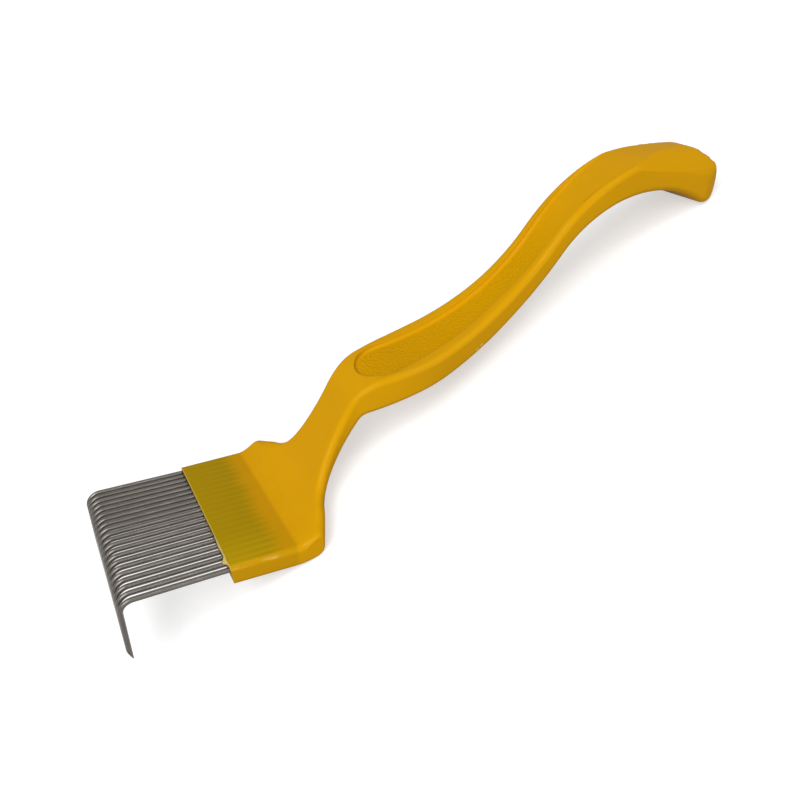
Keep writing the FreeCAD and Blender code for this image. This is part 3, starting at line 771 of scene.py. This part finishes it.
def even_out(work, weight, rounds, steps):
    """Melt edges away where the weight is above nothing, by rounds of these steps."""
    places = np.array([vert.co for vert in work.verts])
    ends = np.array([[vert.index for vert in edge.verts] for edge in work.edges])
    first, second = ends[:, 0], ends[:, 1]
    share = 1 / np.maximum(np.linalg.norm(places[first] - places[second], axis=1), 0.1 * MM)
    total = np.bincount(first, share, len(places)) + np.bincount(second, share, len(places))
    for step in steps * rounds:
        gap = (places[second] - places[first]) * share[:, None]
        pull = np.stack([np.bincount(first, gap[:, k], len(places))
                         - np.bincount(second, gap[:, k], len(places)) for k in range(3)], 1)
        places += step * (weight / total)[:, None] * pull
    for vert, place in zip(work.verts, places):
        vert.co = place


def soft(value, start, end):
    """Soft step from 0 to 1 as the value goes from start to end."""
    share = min(max((value - start) / (end - start), 0.0), 1.0)
    return share * share * (3 - 2 * share)


def reshape(work, turn, look):
    """Round the tail's edges off towards its tip and swell the shoulders beside the neck."""
    bmesh.ops.transform(work, matrix=turn.inverted(), verts=work.verts)
    tip = max(vert.co.x for vert in work.verts)
    start = tip - look.tail_reach
    cut_cells(work, start, tip + MM, TAIL_CELL)
    cut_cells(work, *SHOULDER_REACH, SHOULDER_CELL)
    work.verts.index_update()
    for begin, full, rounds, steps in (
            (start + MM, tip - TAIL_FULL, look.tail_rounds, KEEP_SIZE),
            (tip - TIP_START, tip - TIP_FULL, look.tip_rounds, MELT)):
        weight = np.array([soft(vert.co.x, begin, full) for vert in work.verts])
        even_out(work, weight, rounds, steps)
    # stretch the tail back to its length, and swell the shoulders
    lost = tip - max(vert.co.x for vert in work.verts)
    for vert in work.verts:
        place = vert.co
        place.x += lost * soft(place.x, tip - STRETCH, tip)
        beside = (place.x - SHOULDER_PLACE) / SHOULDER_WIDTH
        swell = (look.shoulder_swell * math.exp(-beside ** 2)
                 * soft(abs(place.y), *SHOULDER_SIDE))
        place.y += math.copysign(swell, place.y)
        place.z += SHOULDER_LIFT * swell * soft(place.z, 0, 3 * MM)
    bmesh.ops.transform(work, matrix=turn, verts=work.verts)

    # nothing past the box of the solid
    low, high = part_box("handle")
    for vert in work.verts:
        vert.co = [min(max(at, start), end) for at, start, end in zip(vert.co, low, high)]


class FORK_OT_handle(bpy.types.Operator):
    """Dress the moulded handle with smooth shading and yellow plastic"""
    bl_idname = "fork.handle"
    bl_label = "Moulded Handle"

    def execute(self, context):
        mesh = frame["nodes"]["handle"].data.copy()
        mesh.name = "moulded_handle"
        work = bmesh.new()
        work.from_mesh(mesh)
        bmesh.ops.remove_doubles(work, verts=work.verts, dist=0.002 * MM)
        reshape(work, rest_turn(), context.scene.fork_plastic)
        work.to_mesh(mesh)
        work.free()
        if not mesh.polygons:
            raise RuntimeError("the handle has no faces")
        mesh.shade_smooth()
        mesh.set_sharp_from_angle(angle=context.scene.fork_plastic.sharp_angle)
        handle = new_object("moulded_handle", mesh)
        weighted = handle.modifiers.new("even_shading", "WEIGHTED_NORMAL")
        weighted.keep_sharp = True
        weighted.weight = 60
        shaded = applied(handle, "moulded_handle")
        handle.modifiers.clear()
        handle.data = shaded
        shaded.materials.clear()
        shaded.materials.append(plastic_material(rest_turn()))
        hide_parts("handle")
        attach(handle, "root")
        return {"FINISHED"}


class FORK_OT_flash(bpy.types.Operator):
    """Make the sliver of clear flash along the front edge, over the needles"""
    bl_idname = "fork.flash"
    bl_label = "Mould Flash"

    def execute(self, context):
        sizes = context.scene.fork_needles
        turn = rest_turn()
        chance = random.Random(FLASH_SEED)
        front, top = sizes.free_length, FLASH_TOP
        work = bmesh.new()
        rings = []
        for step in range(FLASH_STEPS + 1):
            share = step / FLASH_STEPS
            y = FLASH_START + (FLASH_END - FLASH_START) * share
            swell = (0.10 + 0.95 * math.exp(-((share - 0.16) / 0.10) ** 2)
                     + 0.15 * math.exp(-((share - 0.62) / 0.16) ** 2))
            reach = swell * (0.8 + 0.4 * chance.random()) * min(1, share * 9, (1 - share) * 5) * MM
            lift = (0.10 + 0.12 * chance.random()) * MM
            drop = (0.25 + 0.5 * min(1.0, reach / MM)) * MM
            ring = [(front + 0.25 * MM, top + lift * 0.3), (front - 0.05 * MM, top + lift),
                    (front - reach * 0.6, top - drop * 0.25),
                    (front - reach - 0.05 * MM, top - drop),
                    (front - reach * 0.5, top - drop - 0.15 * MM),
                    (front + 0.25 * MM, top - drop * 0.7 - 0.1 * MM)]
            rings.append([work.verts.new(turn @ Vector((x, y, z))) for x, z in ring])
        for first, second in zip(rings, rings[1:]):
            for a, b, c, d in zip(first, first[1:] + first[:1],
                                  second[1:] + second[:1], second):
                work.faces.new((a, b, c, d))
        work.faces.new(rings[0])
        work.faces.new(rings[-1])
        bmesh.ops.recalc_face_normals(work, faces=work.faces)
        mesh = bpy.data.meshes.new("mould_flash")
        work.to_mesh(mesh)
        work.free()
        mesh.shade_smooth()
        mesh.materials.append(flash_material(turn))
        flash = new_object("mould_flash", mesh)
        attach(flash, "root")
        return {"FINISHED"}


# ---------------------------------------------------------------- stage

def area_lamp(name, place, size, power):
    """Soft round lamp that looks at the fork."""
    lamp = bpy.data.lights.new(name, "AREA")
    lamp.shape, lamp.size, lamp.energy = "DISK", size, power
    made = new_object(name, lamp)
    made.location = place
    towards = Vector(LAMP_TARGET) - Vector(place)
    made.rotation_euler = towards.to_track_quat("-Z", "Y").to_euler()


class FORK_OT_stage(bpy.types.Operator):
    """Make the floor, the lamps, the world and the camera"""
    bl_idname = "fork.stage"
    bl_label = "Stage"

    def execute(self, context):
        scene = context.scene
        look = scene.fork_stage
        mesh = bpy.data.meshes.new("floor")
        work = bmesh.new()
        bmesh.ops.create_grid(work, x_segments=1, y_segments=1, size=FLOOR_HALF)
        work.to_mesh(mesh)
        work.free()
        mesh.transform(Matrix.Translation((0, 0, CAD_BOX[0][2] - FLOOR_DROP)))
        mesh.materials.append(floor_material())
        new_object("floor", mesh)

        for name, place, size, setting in LAMPS:
            area_lamp(name, place, size, getattr(look, setting))

        world = bpy.data.worlds.new("studio")
        world.use_nodes = True
        tree = world.node_tree
        tree.nodes.clear()
        strength = add_node(tree, "ShaderNodeMapRange",
                            {"Value": background_ray(tree),
                             "To Min": look.world_light, "To Max": 1.0})
        light = add_node(tree, "ShaderNodeBackground",
                         {"Color": (1, 1, 1, 1), "Strength": strength.outputs[0]})
        output = tree.nodes.new("ShaderNodeOutputWorld")
        tree.links.new(light.outputs[0], output.inputs["Surface"])
        scene.world = world

        camera = bpy.data.cameras.new("camera")
        camera.lens, camera.sensor_width = look.lens / MM, SENSOR_WIDTH
        camera.clip_start, camera.clip_end = CLIP
        holder = new_object("camera", camera)
        right, up = Vector(CAMERA_RIGHT), Vector(CAMERA_UP)
        turned = Matrix((right, up, right.cross(up))).transposed().to_4x4()
        holder.matrix_world = Matrix.Translation(CAMERA_PLACE) @ turned
        scene.camera = holder
        scene.view_settings.view_transform = "Standard"
        return {"FINISHED"}


# ---------------------------------------------------------------- panel and registration

class FORK_PT_panel(bpy.types.Panel):
    bl_idname = "FORK_PT_panel"
    bl_label = "Uncapping Fork"
    bl_space_type = "VIEW_3D"
    bl_region_type = "UI"
    bl_category = "Fork"

    def draw(self, context):
        for group, operators in (("fork_needles", ("fork.needles",)),
                                 ("fork_plastic", ("fork.handle", "fork.flash")),
                                 ("fork_stage", ("fork.stage",))):
            box = self.layout.box()
            settings = getattr(context.scene, group)
            for name in settings.__annotations__:
                box.prop(settings, name)
            for operator in operators:
                box.operator(operator)


CLASSES = (FORK_PG_needles, FORK_PG_plastic, FORK_PG_stage, FORK_OT_needles, FORK_OT_handle,
           FORK_OT_flash, FORK_OT_stage, FORK_PT_panel)


def register():
    for cls in CLASSES:
        bpy.utils.register_class(cls)
    bpy.types.Scene.fork_needles = PointerProperty(type=FORK_PG_needles)
    bpy.types.Scene.fork_plastic = PointerProperty(type=FORK_PG_plastic)
    bpy.types.Scene.fork_stage = PointerProperty(type=FORK_PG_stage)


def unregister():
    del bpy.types.Scene.fork_stage
    del bpy.types.Scene.fork_plastic
    del bpy.types.Scene.fork_needles
    for cls in reversed(CLASSES):
        bpy.utils.unregister_class(cls)


def main():
    register()
    bpy.ops.fork.stage()
    bpy.ops.fork.handle()
    bpy.ops.fork.needles()
    bpy.ops.fork.flash()
    bpy.context.view_layer.update()


if __name__ == "__main__":
    main()
